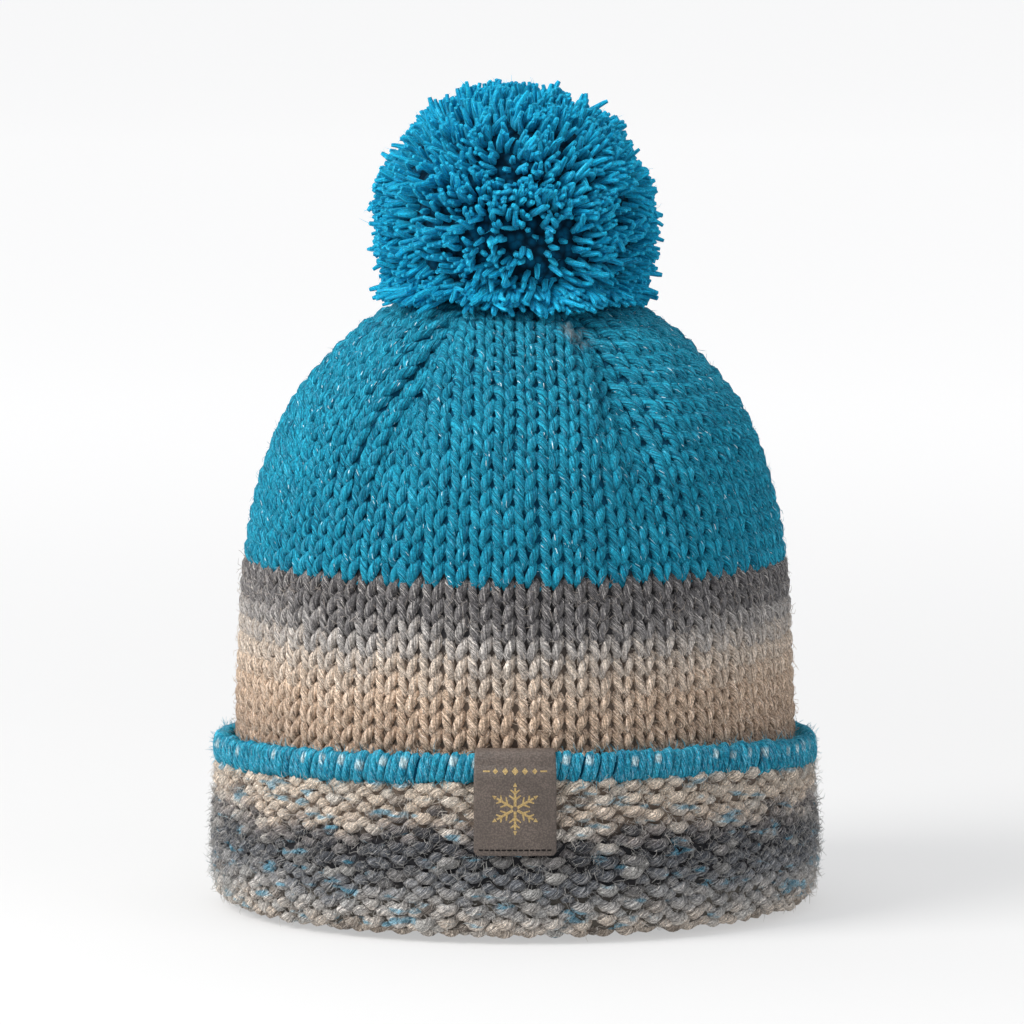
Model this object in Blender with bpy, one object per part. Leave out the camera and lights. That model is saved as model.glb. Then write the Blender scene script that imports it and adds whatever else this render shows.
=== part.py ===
"""A knitted toque with a turned-up cuff, a rolled edging, a folded leather label and a yarn pompom.

It stands on its folded edge with the front towards -Y. The origin is on the floor, in the
middle of the fold. An azimuth is counted from the front and grows towards +X.
"""

import math
import random
from collections import namedtuple

import bmesh
import bpy
from mathutils import Matrix, Vector

for leftover in list(bpy.data.objects):
    bpy.data.objects.remove(leftover, do_unlink=True)

# Sizes in metres
GAP = 0.0003
COLUMNS = 60
BODY_RADIUS = 0.0935
CROWN_HEIGHT = 0.2070
YARN_CHANGE_HEIGHT = 0.1180
KNIT_WALL = 0.0055
GORES = 6
CREASE_SHARPNESS = 6
FOLD_WALL = 0.0060
CUFF_WALL = 0.0066
CUFF_HEIGHT = 0.0500
EDGING_HEIGHT = 0.0098
EDGING_DEPTH = 0.0050
EDGING_SIDES = 10
LABEL_WIDTH = 0.0262
LABEL_FRONT_LENGTH = 0.0345
LABEL_BACK_LENGTH = 0.0070
LABEL_THICKNESS = 0.0011
TIE_RADIUS = 0.0028
TIE_REACH = 0.0110
KNOT_RADIUS = 0.0062
KNOT_HEIGHT = 0.0045
POMPOM_RADIUS = 0.0490
POMPOM_PRESS = 0.0280
LOCK_LENGTH = 0.0095

# The crown from its lower end to its gathered top: height as a share of CROWN_HEIGHT, radius
# as a share of BODY_RADIUS, and how deep the knit dips along a decrease line, as a share of
# that radius.
CrownRow = namedtuple("CrownRow", "height radius crease")
CROWN_ROWS = (
    CrownRow(0.145, 1.000, 0.000),
    CrownRow(0.300, 1.000, 0.000),
    CrownRow(0.425, 0.988, 0.000),
    CrownRow(0.530, 0.972, 0.000),
    CrownRow(0.620, 0.943, 0.002),
    CrownRow(0.688, 0.909, 0.010),
    CrownRow(0.740, 0.873, 0.022),
    CrownRow(0.785, 0.832, 0.034),
    CrownRow(0.823, 0.785, 0.044),
    CrownRow(0.858, 0.725, 0.054),
    CrownRow(0.890, 0.662, 0.062),
    CrownRow(0.918, 0.600, 0.068),
    CrownRow(0.944, 0.525, 0.074),
    CrownRow(0.966, 0.444, 0.080),
    CrownRow(0.985, 0.330, 0.080),
    CrownRow(0.995, 0.214, 0.070),
    CrownRow(1.000, 0.118, 0.030),
)

# The outer side of the cuff from the fold up: height as a share of CUFF_HEIGHT and thickness
# as a share of CUFF_WALL.
CuffRow = namedtuple("CuffRow", "height thickness")
CUFF_ROWS = (
    CuffRow(0.000, 0.170),
    CuffRow(0.040, 0.580),
    CuffRow(0.115, 0.770),
    CuffRow(0.220, 0.900),
    CuffRow(0.370, 1.000),
    CuffRow(0.530, 0.970),
    CuffRow(0.690, 0.900),
    CuffRow(0.850, 0.820),
    CuffRow(0.970, 0.750),
    CuffRow(1.000, 0.580),
)

# Where the cuff was folded up a little higher: azimuth in degrees and the extra height as a
# share of CUFF_HEIGHT.
LiftRow = namedtuple("LiftRow", "azimuth lift")
LIFT_ROWS = (
    LiftRow(-180, 0.000),
    LiftRow(-100, 0.000),
    LiftRow(-50, 0.024),
    LiftRow(0, 0.056),
    LiftRow(45, 0.056),
    LiftRow(80, 0.020),
    LiftRow(110, 0.000),
    LiftRow(180, 0.000),
)


def material(name, colour, roughness, metallic=0.0):
    made = bpy.data.materials.new(name)
    made.use_nodes = True
    shader = made.node_tree.nodes["Principled BSDF"]
    shader.inputs["Base Color"].default_value = (*colour, 1.0)
    shader.inputs["Roughness"].default_value = roughness
    shader.inputs["Metallic"].default_value = metallic
    made.diffuse_color = (*colour, 1.0)
    return made


def finished(name, mesh, surface):
    """The object of a closed mesh, facing out and shaded smooth between its creases."""
    bmesh.ops.recalc_face_normals(mesh, faces=mesh.faces)
    if mesh.calc_volume(signed=True) < 0:
        bmesh.ops.reverse_faces(mesh, faces=mesh.faces)
    data = bpy.data.meshes.new(name)
    mesh.to_mesh(data)
    mesh.free()
    data.materials.append(surface)
    data.shade_smooth()
    data.set_sharp_from_angle(angle=math.radians(50))
    placed = bpy.data.objects.new(name, data)
    bpy.context.scene.collection.objects.link(placed)
    return placed


def at(azimuth, radius, height):
    return Vector((radius * math.sin(azimuth), -radius * math.cos(azimuth), height))


def turned(name, columns, section, surface):
    """A ring-shaped solid: section(azimuth) gives the closed outline there as radius and height."""
    mesh = bmesh.new()
    rings = []
    for column in range(columns):
        azimuth = 2 * math.pi * column / columns
        rings.append([mesh.verts.new(at(azimuth, r, z)) for r, z in section(azimuth)])
    for near, far in zip(rings, rings[1:] + rings[:1]):
        for i in range(len(near)):
            j = (i + 1) % len(near)
            mesh.faces.new((near[i], far[i], far[j], near[j]))
    return finished(name, mesh, surface)


def read_between(rows, value, column):
    """The named column at this value of the rows' first column, on straight lines between them."""
    for low, high in zip(rows, rows[1:]):
        if value <= high[0]:
            share = (value - low[0]) / (high[0] - low[0])
            start, end = getattr(low, column), getattr(high, column)
            return start + (end - start) * min(1.0, max(0.0, share))
    return getattr(rows[-1], column)


# Crown: a knitted tube, narrowed along six decrease lines and gathered shut at the top. Its
# lower part, in heather yarn, is a solid of its own up to the row where the yarn changes.
crown_end = FOLD_WALL + GAP
tie_hole_radius = TIE_RADIUS + GAP
HOLE_DIP = 0.0008


def crown_outline():
    """Outer points from the lower end to the tie's hole, each with its share of crease."""
    points = [(BODY_RADIUS, crown_end, 0.0)]
    for row in CROWN_ROWS:
        points.append((row.radius * BODY_RADIUS, row.height * CROWN_HEIGHT, row.crease))
    points.append((tie_hole_radius, CROWN_HEIGHT - HOLE_DIP, 0.0))
    return points


def inner_outline(points, wall):
    """The same points moved in by the wall, square to the outline."""
    moved = []
    for i, (r, z, crease) in enumerate(points):
        before, after = points[max(i - 1, 0)], points[min(i + 1, len(points) - 1)]
        along = Vector((after[0] - before[0], after[1] - before[1])).normalized()
        moved.append((r - wall * along.y, z + wall * along.x, crease))
    moved[0] = (points[0][0] - wall, points[0][1], 0.0)
    moved[-1] = (points[-1][0], points[-1][1] - wall, 0.0)
    return moved


def level_point(points, height):
    """The point where an outline first reaches this height, on straight lines."""
    for near, far in zip(points, points[1:]):
        if near[1] < height <= far[1]:
            share = (height - near[1]) / (far[1] - near[1])
            return tuple(a + (b - a) * share for a, b in zip(near, far))
    return points[-1]


def below(points, height):
    return [point for point in points if point[1] < height] + [level_point(points, height)]


def above(points, height):
    return [level_point(points, height)] + [point for point in points if point[1] > height]


def decrease_line(azimuth):
    """1 along the lines between two gores and 0 on the middle of a gore."""
    return abs(math.sin(azimuth * GORES / 2)) ** CREASE_SHARPNESS


def knitted_part(name, kept, height, surface):
    """The crown's wall on one side of a height: kept is below or above."""
    outer = crown_outline()
    inner = inner_outline(outer, KNIT_WALL)
    closed = kept(outer, height) + kept(inner, height)[::-1]

    def section(azimuth):
        dip = decrease_line(azimuth)
        return [(r * (1 - crease * dip), z) for r, z, crease in closed]

    return turned(name, COLUMNS, section, surface)


blue_knit = material("blue_knit", (0.018, 0.235, 0.370), 0.90)
heather_knit = material("heather_knit", (0.330, 0.265, 0.210), 0.92)
knitted_part("crown_band", below, YARN_CHANGE_HEIGHT, heather_knit)
knitted_part("crown", above, YARN_CHANGE_HEIGHT + GAP, blue_knit)

# Cuff: the lower end of the knit folded outwards and up, reverse side showing
cuff_inner_radius = BODY_RADIUS + LABEL_THICKNESS + 2 * GAP
head_radius = BODY_RADIUS - KNIT_WALL
TOP_ROUNDING = 0.0010
FOLD_ROUNDING = 0.30


def lift(azimuth):
    degrees = (math.degrees(azimuth) + 180) % 360 - 180
    return read_between(LIFT_ROWS, degrees, "lift") * CUFF_HEIGHT


def cuff_radius(height):
    """Radius of the cuff's outer side at this height."""
    share = read_between(CUFF_ROWS, height / CUFF_HEIGHT, "thickness")
    return cuff_inner_radius + share * CUFF_WALL


def cuff_section(azimuth):
    stretch = 1 + lift(azimuth) / CUFF_HEIGHT
    wall = FOLD_WALL
    outer = [
        (cuff_inner_radius + row.thickness * CUFF_WALL, row.height * CUFF_HEIGHT * stretch)
        for row in CUFF_ROWS
    ]
    top = CUFF_HEIGHT * stretch
    inner = [
        (cuff_inner_radius + TOP_ROUNDING, top),
        (cuff_inner_radius, top - TOP_ROUNDING),
        (cuff_inner_radius, wall),
    ]
    foot = [
        (head_radius + FOLD_ROUNDING * wall, wall),
        (head_radius, wall * (1 - FOLD_ROUNDING)),
        (head_radius, wall * FOLD_ROUNDING),
        (head_radius + FOLD_ROUNDING * wall, 0.0),
    ]
    return outer + inner + foot


grey_knit = material("grey_knit", (0.150, 0.145, 0.145), 0.92)
turned("cuff", COLUMNS, cuff_section, grey_knit)

# Edging: the rolled blue border on the cuff's upper edge
edging_radius = cuff_inner_radius + EDGING_DEPTH / 2
edging_middle = CUFF_HEIGHT + GAP + EDGING_HEIGHT / 2
EDGING_SQUARENESS = 0.75


def rounded(angle, half_width, half_height):
    """A point of an oval with its corners filled out."""
    c, s = math.cos(angle), math.sin(angle)
    x = math.copysign(abs(c) ** EDGING_SQUARENESS, c) * half_width
    y = math.copysign(abs(s) ** EDGING_SQUARENESS, s) * half_height
    return x, y


def edging_section(azimuth):
    raised = edging_middle + lift(azimuth)
    points = []
    for side in range(EDGING_SIDES):
        x, y = rounded(2 * math.pi * side / EDGING_SIDES, EDGING_DEPTH / 2, EDGING_HEIGHT / 2)
        points.append((edging_radius + x, raised + y))
    return points


edging_yarn = material("edging_yarn", (0.020, 0.270, 0.450), 0.88)
turned("cuff_edging", COLUMNS, edging_section, edging_yarn)

# Label: a leather strip folded over the edging, its short leg behind and its long leg in front
LABEL_COLUMNS = 4
LABEL_BEND_STEPS = 6


def label_path():
    """The strip's inner side as radius and height, from its front end over the edging and down."""
    raised = edging_middle + lift(0)
    stretch = 1 + lift(0) / CUFF_HEIGHT
    front_end = raised + EDGING_HEIGHT / 2 + GAP + LABEL_THICKNESS - LABEL_FRONT_LENGTH
    on_cuff = [front_end]
    on_cuff += [z for z in (row.height * CUFF_HEIGHT * stretch for row in CUFF_ROWS) if z > front_end]
    bend_start = edging_radius + EDGING_DEPTH / 2 + GAP
    path = [(max(bend_start, cuff_radius(z / stretch) + GAP), z) for z in on_cuff]
    for step in range(LABEL_BEND_STEPS + 1):
        angle = math.pi * step / LABEL_BEND_STEPS
        x, y = rounded(angle, EDGING_DEPTH / 2 + GAP, EDGING_HEIGHT / 2 + GAP)
        path.append((edging_radius + x, raised + y))
    path.append((cuff_inner_radius - GAP, raised - LABEL_BACK_LENGTH))
    return path


def outward(path, thickness):
    """The path moved by the thickness, square to itself, away from what it lies on."""
    moved = []
    for i, (r, z) in enumerate(path):
        before, after = path[max(i - 1, 0)], path[min(i + 1, len(path) - 1)]
        along = Vector((after[0] - before[0], after[1] - before[1])).normalized()
        moved.append((r + thickness * along.y, z - thickness * along.x))
    return moved


def label():
    mesh = bmesh.new()
    half_angle = LABEL_WIDTH / 2 / (edging_radius + EDGING_DEPTH / 2)
    strips = []
    path = label_path()
    for column in range(LABEL_COLUMNS + 1):
        azimuth = half_angle * (2 * column / LABEL_COLUMNS - 1)
        inner = [mesh.verts.new(at(azimuth, r, z)) for r, z in path]
        outer = [mesh.verts.new(at(azimuth, r, z)) for r, z in outward(path, LABEL_THICKNESS)]
        strips.append((inner, outer))
    last = len(strips[0][0]) - 1
    for (inner, outer), (next_inner, next_outer) in zip(strips, strips[1:]):
        for i in range(last):
            mesh.faces.new((inner[i], inner[i + 1], next_inner[i + 1], next_inner[i]))
            mesh.faces.new((outer[i], next_outer[i], next_outer[i + 1], outer[i + 1]))
        for i in (0, last):
            mesh.faces.new((inner[i], outer[i], next_outer[i], next_inner[i]))
    for inner, outer in (strips[0], strips[-1]):
        for i in range(last):
            mesh.faces.new((inner[i], inner[i + 1], outer[i + 1], outer[i]))
    return finished("label", mesh, material("label_leather", (0.115, 0.092, 0.078), 0.55))


label()

# Tie: the doubled yarn that ends in a knot inside the crown and holds the pompom on
TIE_SIDES = 12
tie_top = CROWN_HEIGHT + TIE_REACH
knot_top = CROWN_HEIGHT - HOLE_DIP - KNIT_WALL - GAP


def pompom_tie():
    outline = (
        (0.55 * KNOT_RADIUS, knot_top - KNOT_HEIGHT),
        (KNOT_RADIUS, knot_top - 0.65 * KNOT_HEIGHT),
        (KNOT_RADIUS, knot_top - 0.25 * KNOT_HEIGHT),
        (0.75 * KNOT_RADIUS, knot_top),
        (TIE_RADIUS, knot_top),
        (TIE_RADIUS, tie_top - 0.3 * TIE_RADIUS),
        (0.7 * TIE_RADIUS, tie_top),
    )
    mesh = bmesh.new()
    rings = []
    for r, z in outline:
        ring = bmesh.ops.create_circle(mesh, segments=TIE_SIDES, radius=r)["verts"]
        bmesh.ops.translate(mesh, verts=ring, vec=(0, 0, z))
        rings.append(ring)
    for low, high in zip(rings, rings[1:]):
        for i in range(TIE_SIDES):
            j = (i + 1) % TIE_SIDES
            mesh.faces.new((low[i], low[j], high[j], high[i]))
    mesh.faces.new(rings[0])
    mesh.faces.new(rings[-1])
    return finished("pompom_tie", mesh, blue_knit)


pompom_tie()

# Pompom: locks of cut yarn round a head, flat underneath where it presses on the crown
SEAT_GAP = 2 * GAP
LOCK_DIVISIONS = 3
LOCK_TAPER = 0.66
LOCK_LEAN = 0.050
LOCK_UNEVENNESS = 0.030
SOCKET_SIDES = 16
pompom_rise = POMPOM_RADIUS - POMPOM_PRESS
pompom_centre = Vector((0, 0, CROWN_HEIGHT + pompom_rise))


def crown_top_height(radius):
    """Height of the crown's outer side at this radius near its top."""
    top = [row for row in reversed(CROWN_ROWS) if row.height > 0.7]
    Top = namedtuple("Top", "radius height")
    rows = [Top(0.0, 1.0)] + [Top(row.radius, row.height) for row in top]
    return read_between(rows, radius / BODY_RADIUS, "height") * CROWN_HEIGHT


def pompom_reach(direction):
    """How far the pompom goes this way: its radius, or less where the crown is under it."""
    clear, blocked = 0.0, POMPOM_RADIUS
    for _ in range(24):
        tried = (clear + blocked) / 2
        point = pompom_centre + direction * tried
        if point.z > crown_top_height(math.hypot(point.x, point.y)) + SEAT_GAP:
            clear = tried
        else:
            blocked = tried
    return clear


def pompom():
    rng = random.Random(7)
    guide = bmesh.new()
    bmesh.ops.create_icosphere(guide, subdivisions=LOCK_DIVISIONS, radius=1.0)
    middles = {face: face.calc_center_median().normalized() for face in guide.faces}
    mesh = bmesh.new()
    root_share = 1 - LOCK_LENGTH / POMPOM_RADIUS
    roots = {}
    for face, middle in middles.items():
        reach = pompom_reach(middle) * root_share
        roots[face] = mesh.verts.new(pompom_centre + middle * reach)
    for vert in guide.verts:
        axis = vert.co.normalized()
        side = axis.orthogonal().normalized()
        other = axis.cross(side)
        round_it = sorted(
            vert.link_faces,
            key=lambda face: math.atan2(middles[face].dot(other), middles[face].dot(side)),
        )
        leaning = side * rng.gauss(0, LOCK_LEAN) + other * rng.gauss(0, LOCK_LEAN)
        length = 1 - abs(rng.gauss(0, LOCK_UNEVENNESS))
        tips = []
        for face in round_it:
            aim = (axis + (middles[face] - axis) * LOCK_TAPER + leaning).normalized()
            tips.append(mesh.verts.new(pompom_centre + aim * pompom_reach(aim) * length))
        mesh.faces.new(tips)
        count = len(round_it)
        for i in range(count):
            j = (i + 1) % count
            mesh.faces.new((roots[round_it[i]], roots[round_it[j]], tips[j], tips[i]))
    guide.free()
    ball = finished("pompom", mesh, material("pompom_yarn", (0.008, 0.210, 0.400), 0.90))
    cutter_mesh = bmesh.new()
    depth = TIE_REACH + GAP
    below = pompom_rise
    middle_height = CROWN_HEIGHT + (depth - below) / 2
    bmesh.ops.create_cone(
        cutter_mesh,
        cap_ends=True,
        segments=SOCKET_SIDES,
        radius1=tie_hole_radius,
        radius2=tie_hole_radius,
        depth=depth + below,
        matrix=Matrix.Translation((0, 0, middle_height)),
    )
    cutter = finished("pompom_socket_cutter", cutter_mesh, blue_knit)
    cutter.hide_render = True
    cutter.display_type = "WIRE"
    socket = ball.modifiers.new("socket", "BOOLEAN")
    socket.operation = "DIFFERENCE"
    socket.object = cutter
    return ball


pompom()
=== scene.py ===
"""The looks of a knitted toque: yarn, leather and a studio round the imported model.

Metres, +Z up, the front with the label towards -Y. An azimuth is counted from the front and
grows towards +X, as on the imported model.
"""

import math

import bmesh
import bpy
import numpy as np
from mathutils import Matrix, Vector, noise


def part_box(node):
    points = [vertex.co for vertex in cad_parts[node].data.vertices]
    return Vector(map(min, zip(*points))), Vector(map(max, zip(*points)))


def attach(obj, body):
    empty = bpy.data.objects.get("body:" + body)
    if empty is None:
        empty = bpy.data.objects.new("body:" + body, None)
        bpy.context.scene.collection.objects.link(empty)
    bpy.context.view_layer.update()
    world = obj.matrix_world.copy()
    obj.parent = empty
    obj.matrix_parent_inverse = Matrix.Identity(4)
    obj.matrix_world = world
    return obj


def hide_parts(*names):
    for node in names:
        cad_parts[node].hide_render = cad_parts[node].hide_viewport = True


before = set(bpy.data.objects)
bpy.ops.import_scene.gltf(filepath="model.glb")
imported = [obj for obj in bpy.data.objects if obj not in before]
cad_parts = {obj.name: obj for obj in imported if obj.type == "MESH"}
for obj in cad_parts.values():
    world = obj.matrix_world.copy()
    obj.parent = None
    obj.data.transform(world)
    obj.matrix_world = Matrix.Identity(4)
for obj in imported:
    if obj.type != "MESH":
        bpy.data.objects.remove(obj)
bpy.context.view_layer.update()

# Studio: a white paper sweep, one broad soft light high on the left, a weaker one on the right
# and a pale room round them. The camera looks at the front from a little above the crown's
# shoulder, far enough away for upright sides to stay upright.
PICTURE_WIDTH = 0.342
CAMERA_DISTANCE = 3.0
CAMERA_ELEVATION = math.radians(6.0)
CAMERA_AIM = Vector((-0.0010, 0.0, 0.1310))
ROOM_COLOUR = (0.93, 0.95, 1.0, 1.0)
ROOM_LIGHT = 0.44
ROOM_SEEN = 0.96
SWEEP_HALF_WIDTH = 12.0
SWEEP_BACK = 4.0
SWEEP_RADIUS = 1.5
SWEEP_STEPS = 24
PAPER_WHITE = 0.335
PAPER_GLOW_NEAR = 0.47
PAPER_GLOW_FAR = 0.72
GLOW_REACH = 1.9


def object_of(name, data):
    """A new object in the scene with this data."""
    made = bpy.data.objects.new(name, data)
    bpy.context.scene.collection.objects.link(made)
    return made


camera_data = bpy.data.cameras.new("camera")
camera_data.sensor_width = 36.0
camera_data.lens = camera_data.sensor_width * CAMERA_DISTANCE / PICTURE_WIDTH
camera_data.clip_end = 100.0
camera = object_of("camera", camera_data)
towards_camera = Vector((0, -math.cos(CAMERA_ELEVATION), math.sin(CAMERA_ELEVATION)))
camera.location = CAMERA_AIM + towards_camera * CAMERA_DISTANCE
camera.rotation_euler = (math.pi / 2 - CAMERA_ELEVATION, 0, 0)
bpy.context.scene.camera = camera
bpy.context.scene.view_settings.view_transform = "Standard"


def soft_light(name, azimuth, elevation, distance, size, watts, colour):
    """A square soft box that faces the middle of the toque."""
    data = bpy.data.lights.new(name, "AREA")
    data.size = size
    data.energy = watts
    data.color = colour
    light = object_of(name, data)
    around, up = math.radians(azimuth), math.radians(elevation)
    aim = Vector((math.sin(around) * math.cos(up), -math.cos(around) * math.cos(up), math.sin(up)))
    light.location = CAMERA_AIM + aim * distance
    light.rotation_euler = aim.to_track_quat("Z", "Y").to_euler()


soft_light("key_light", -58, 40, 1.6, 0.9, 30.0, (1.0, 0.985, 0.96))
soft_light("fill_light", 55, 24, 2.2, 1.4, 8.0, (0.96, 0.98, 1.0))
soft_light("top_light", -20, 80, 1.6, 1.2, 6.0, (1.0, 1.0, 1.0))


class Wire:
    """A socket of a node tree. Sums written with it add their Math nodes to that tree."""

    def __init__(self, socket):
        self.socket = socket

    def node(self, kind, settings=None, inputs=None, output=0):
        """A node of this type: its settings are set first, then its inputs by name or number."""
        tree = self.socket.id_data
        made = tree.nodes.new(kind)
        for name, value in (settings or {}).items():
            if name == "stops":
                elements = made.color_ramp.elements
                for i, (position, colour) in enumerate(value):
                    stop = elements[i] if i < 2 else elements.new(position)
                    stop.position, stop.color = position, colour
            else:
                setattr(made, name, value)
        for key, value in (inputs or {}).items():
            if isinstance(value, Wire):
                tree.links.new(value.socket, made.inputs[key])
            else:
                made.inputs[key].default_value = value
        return Wire(made.outputs[output])

    def sum(self, operation, *terms):
        return self.node("ShaderNodeMath", {"operation": operation}, dict(enumerate(terms)))

    def __add__(self, other):
        return self.sum("ADD", self, other)

    def __sub__(self, other):
        return self.sum("SUBTRACT", self, other)

    def __rsub__(self, other):
        return self.sum("SUBTRACT", other, self)

    def __mul__(self, other):
        return self.sum("MULTIPLY", self, other)

    def __truediv__(self, other):
        return self.sum("DIVIDE", self, other)

    def __pow__(self, other):
        return self.sum("POWER", self, other)

    __radd__ = __add__
    __rmul__ = __mul__

    def sin(self):
        return self.sum("SINE", self)

    def cos(self):
        return self.sum("COSINE", self)

    def clamped(self):
        return self.node("ShaderNodeMath", {"operation": "ADD", "use_clamp": True}, {0: self, 1: 0.0})

    def xyz(self, x, y, z):
        return self.node("ShaderNodeCombineXYZ", {}, {"X": x, "Y": y, "Z": z})

    def part(self, axis):
        return self.node("ShaderNodeSeparateXYZ", {}, {0: self}, "XYZ".index(axis))

    def vector(self, operation, *terms):
        return self.node("ShaderNodeVectorMath", {"operation": operation}, dict(enumerate(terms)))

    def scaled(self, factor):
        return self.node("ShaderNodeVectorMath", {"operation": "SCALE"}, {0: self, "Scale": factor})

    def between(self, low, high):
        """0 at low, 1 at high, smooth in between."""
        return self.node(
            "ShaderNodeMapRange",
            {"interpolation_type": "SMOOTHSTEP"},
            {"Value": self, "From Min": low, "From Max": high},
        )


def shader_of(name, roughness, sheen, sheen_tint):
    """A new material, its Principled node and a wire to start sums from."""
    made = bpy.data.materials.new(name)
    made.use_nodes = True
    shader = made.node_tree.nodes["Principled BSDF"]
    for socket, value in (
        ("Roughness", roughness),
        ("Sheen Weight", sheen),
        ("Sheen Roughness", 0.35),
        ("Sheen Tint", (*sheen_tint, 1.0)),
        ("Specular IOR Level", 0.12),
    ):
        shader.inputs[socket].default_value = value
    start = Wire(made.node_tree.nodes.new("ShaderNodeTexCoord").outputs["Object"])
    return made, shader, start


def feed(shader, socket, wire):
    shader.id_data.links.new(wire.socket, shader.inputs[socket])


def mixed(factor, low, high, blend="MIX"):
    """A colour between two others, by the factor."""
    wire = next(value for value in (factor, low, high) if isinstance(value, Wire))
    settings = {"data_type": "RGBA", "blend_type": blend}
    return wire.node("ShaderNodeMix", settings, {0: factor, 6: low, 7: high}, 2)


def distance_to(start, place):
    return start.node("ShaderNodeVectorMath", {"operation": "DISTANCE"}, {0: start, 1: tuple(place)}, "Value")


def mesh_object(name, points, faces, material, smooth=True):
    data = bpy.data.meshes.new(name)
    data.from_pydata([tuple(point) for point in points], [], faces)
    data.update()
    data.materials.append(material)
    if smooth:
        data.shade_smooth()
    return object_of(name, data)


def lit_paper():
    """White paper that is lit from behind too, more so away from the toque, as in a light tent."""
    made, shader, start = shader_of("paper", 0.9, 0.0, (1, 1, 1))
    shader.inputs["Base Color"].default_value = (PAPER_WHITE, PAPER_WHITE, PAPER_WHITE, 1.0)
    shader.inputs["Emission Strength"].default_value = 1.0
    near, far = ((glow, glow, glow, 1.0) for glow in (PAPER_GLOW_NEAR, PAPER_GLOW_FAR))
    feed(shader, "Emission Color", mixed(distance_to(start, (0, 0, 0)).between(0.0, GLOW_REACH), near, far))
    return made


def paper_sweep():
    """The floor, then a quarter bend, then a wall behind."""
    outline = [(-SWEEP_HALF_WIDTH, 0.0)]
    for step in range(SWEEP_STEPS + 1):
        angle = math.pi / 2 * step / SWEEP_STEPS
        y = SWEEP_BACK + SWEEP_RADIUS * math.sin(angle)
        outline.append((y, SWEEP_RADIUS * (1 - math.cos(angle))))
    outline.append((SWEEP_BACK + SWEEP_RADIUS, SWEEP_HALF_WIDTH))
    points = [(x, y, z) for y, z in outline for x in (-SWEEP_HALF_WIDTH, SWEEP_HALF_WIDTH)]
    faces = [(2 * i, 2 * i + 1, 2 * i + 3, 2 * i + 2) for i in range(len(outline) - 1)]
    return mesh_object("floor", points, faces, lit_paper())


paper_sweep()

room = bpy.context.scene.world or bpy.data.worlds.new("room")
bpy.context.scene.world = room
room.use_nodes = True
air = room.node_tree.nodes["Background"]
air.inputs["Color"].default_value = ROOM_COLOUR
seen = Wire(room.node_tree.nodes.new("ShaderNodeLightPath").outputs["Is Camera Ray"])
strength = seen * (ROOM_SEEN - ROOM_LIGHT) + ROOM_LIGHT
room.node_tree.links.new(strength.socket, air.inputs["Strength"])

# Crown knit: one thick plied yarn in rows of loops, smooth side out, 72 loops round, narrowed
# along six lines to the gathered top. Teal blue above, dark grey, then beige down into the cuff.
WALES = 72
GORES = 6
BODY_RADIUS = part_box("crown_band")[1][0]
CROWN_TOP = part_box("crown")[1][2]
ROW_PITCH = 0.00606
YARN_GIRTH = 0.00180
KNIT_INSET = 0.0025
LOOP_DEPTH = 0.00125
LOOP_REACH = 0.80
LOOP_SWAY = 1.45
LOOP_LEAN = 0.045
LOOP_SHINGLE = 0.00085
FIRST_ROW_HEIGHT = 0.0475
NARROWING_STARTS = 0.152
NARROWEST_WALE = 0.0062
CREASE_SHARPNESS = 14

# Height as a share of CROWN_TOP, radius as a share of BODY_RADIUS, and the dip along a
# decrease line as a share of the radius.
CROWN_SHAPE = np.array([
    (0.145, 1.000, 0.000),
    (0.300, 1.000, 0.000),
    (0.425, 0.990, 0.000),
    (0.530, 0.978, 0.000),
    (0.620, 0.953, 0.006),
    (0.688, 0.922, 0.024),
    (0.740, 0.889, 0.051),
    (0.785, 0.849, 0.079),
    (0.823, 0.800, 0.104),
    (0.858, 0.738, 0.129),
    (0.890, 0.674, 0.150),
    (0.918, 0.612, 0.167),
    (0.944, 0.538, 0.179),
    (0.966, 0.452, 0.189),
    (0.985, 0.336, 0.177),
    (0.995, 0.214, 0.147),
    (1.000, 0.118, 0.062),
    (1.000, 0.040, 0.000),
])


def recipe(name, counts, sizes):
    """An empty Geometry Nodes tree with named inputs: the plan, the sizes and the material."""
    tree = bpy.data.node_groups.new(name, "GeometryNodeTree")
    tree.interface.new_socket("Geometry", in_out="OUTPUT", socket_type="NodeSocketGeometry")
    tree.interface.new_socket("Plan", in_out="INPUT", socket_type="NodeSocketGeometry")
    for kind, names in (("NodeSocketInt", counts), ("NodeSocketFloat", sizes)):
        for size in names:
            tree.interface.new_socket(size, in_out="INPUT", socket_type=kind)
    tree.interface.new_socket("Material", in_out="INPUT", socket_type="NodeSocketMaterial")
    entry = tree.nodes.new("NodeGroupInput")
    return tree, {socket.name: Wire(socket) for socket in entry.outputs if socket.name}


def named(wire, name, kind="FLOAT"):
    """A field of the plan, read by its name."""
    return wire.node("GeometryNodeInputNamedAttribute", {"data_type": kind}, {"Name": name})


def stored(geometry, name, value, kind="FLOAT"):
    return geometry.node(
        "GeometryNodeStoreNamedAttribute",
        {"data_type": kind, "domain": "POINT"},
        {"Geometry": geometry, "Name": name, "Value": value},
    )


def circle(wire, sides):
    sizes = {"Resolution": sides, "Radius": 1.0}
    return wire.node("GeometryNodeCurvePrimitiveCircle", {"mode": "RADIUS"}, sizes)


def straight(wire, steps):
    ends = {"Start": (0, 0, 0), "End": (0, 0, 1)}
    line = wire.node("GeometryNodeCurvePrimitiveLine", {"mode": "POINTS"}, ends)
    return line.node("GeometryNodeResampleCurve", {}, {"Curve": line, "Count": steps})


def copies(plan, curve):
    """The curve at each point of the plan, with the point's values, and the share of the way along."""
    copied = plan.node("GeometryNodeInstanceOnPoints", {}, {"Points": plan, "Instance": curve})
    real = copied.node("GeometryNodeRealizeInstances", {}, {"Geometry": copied})
    return real, real.node("GeometryNodeSplineParameter")


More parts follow.
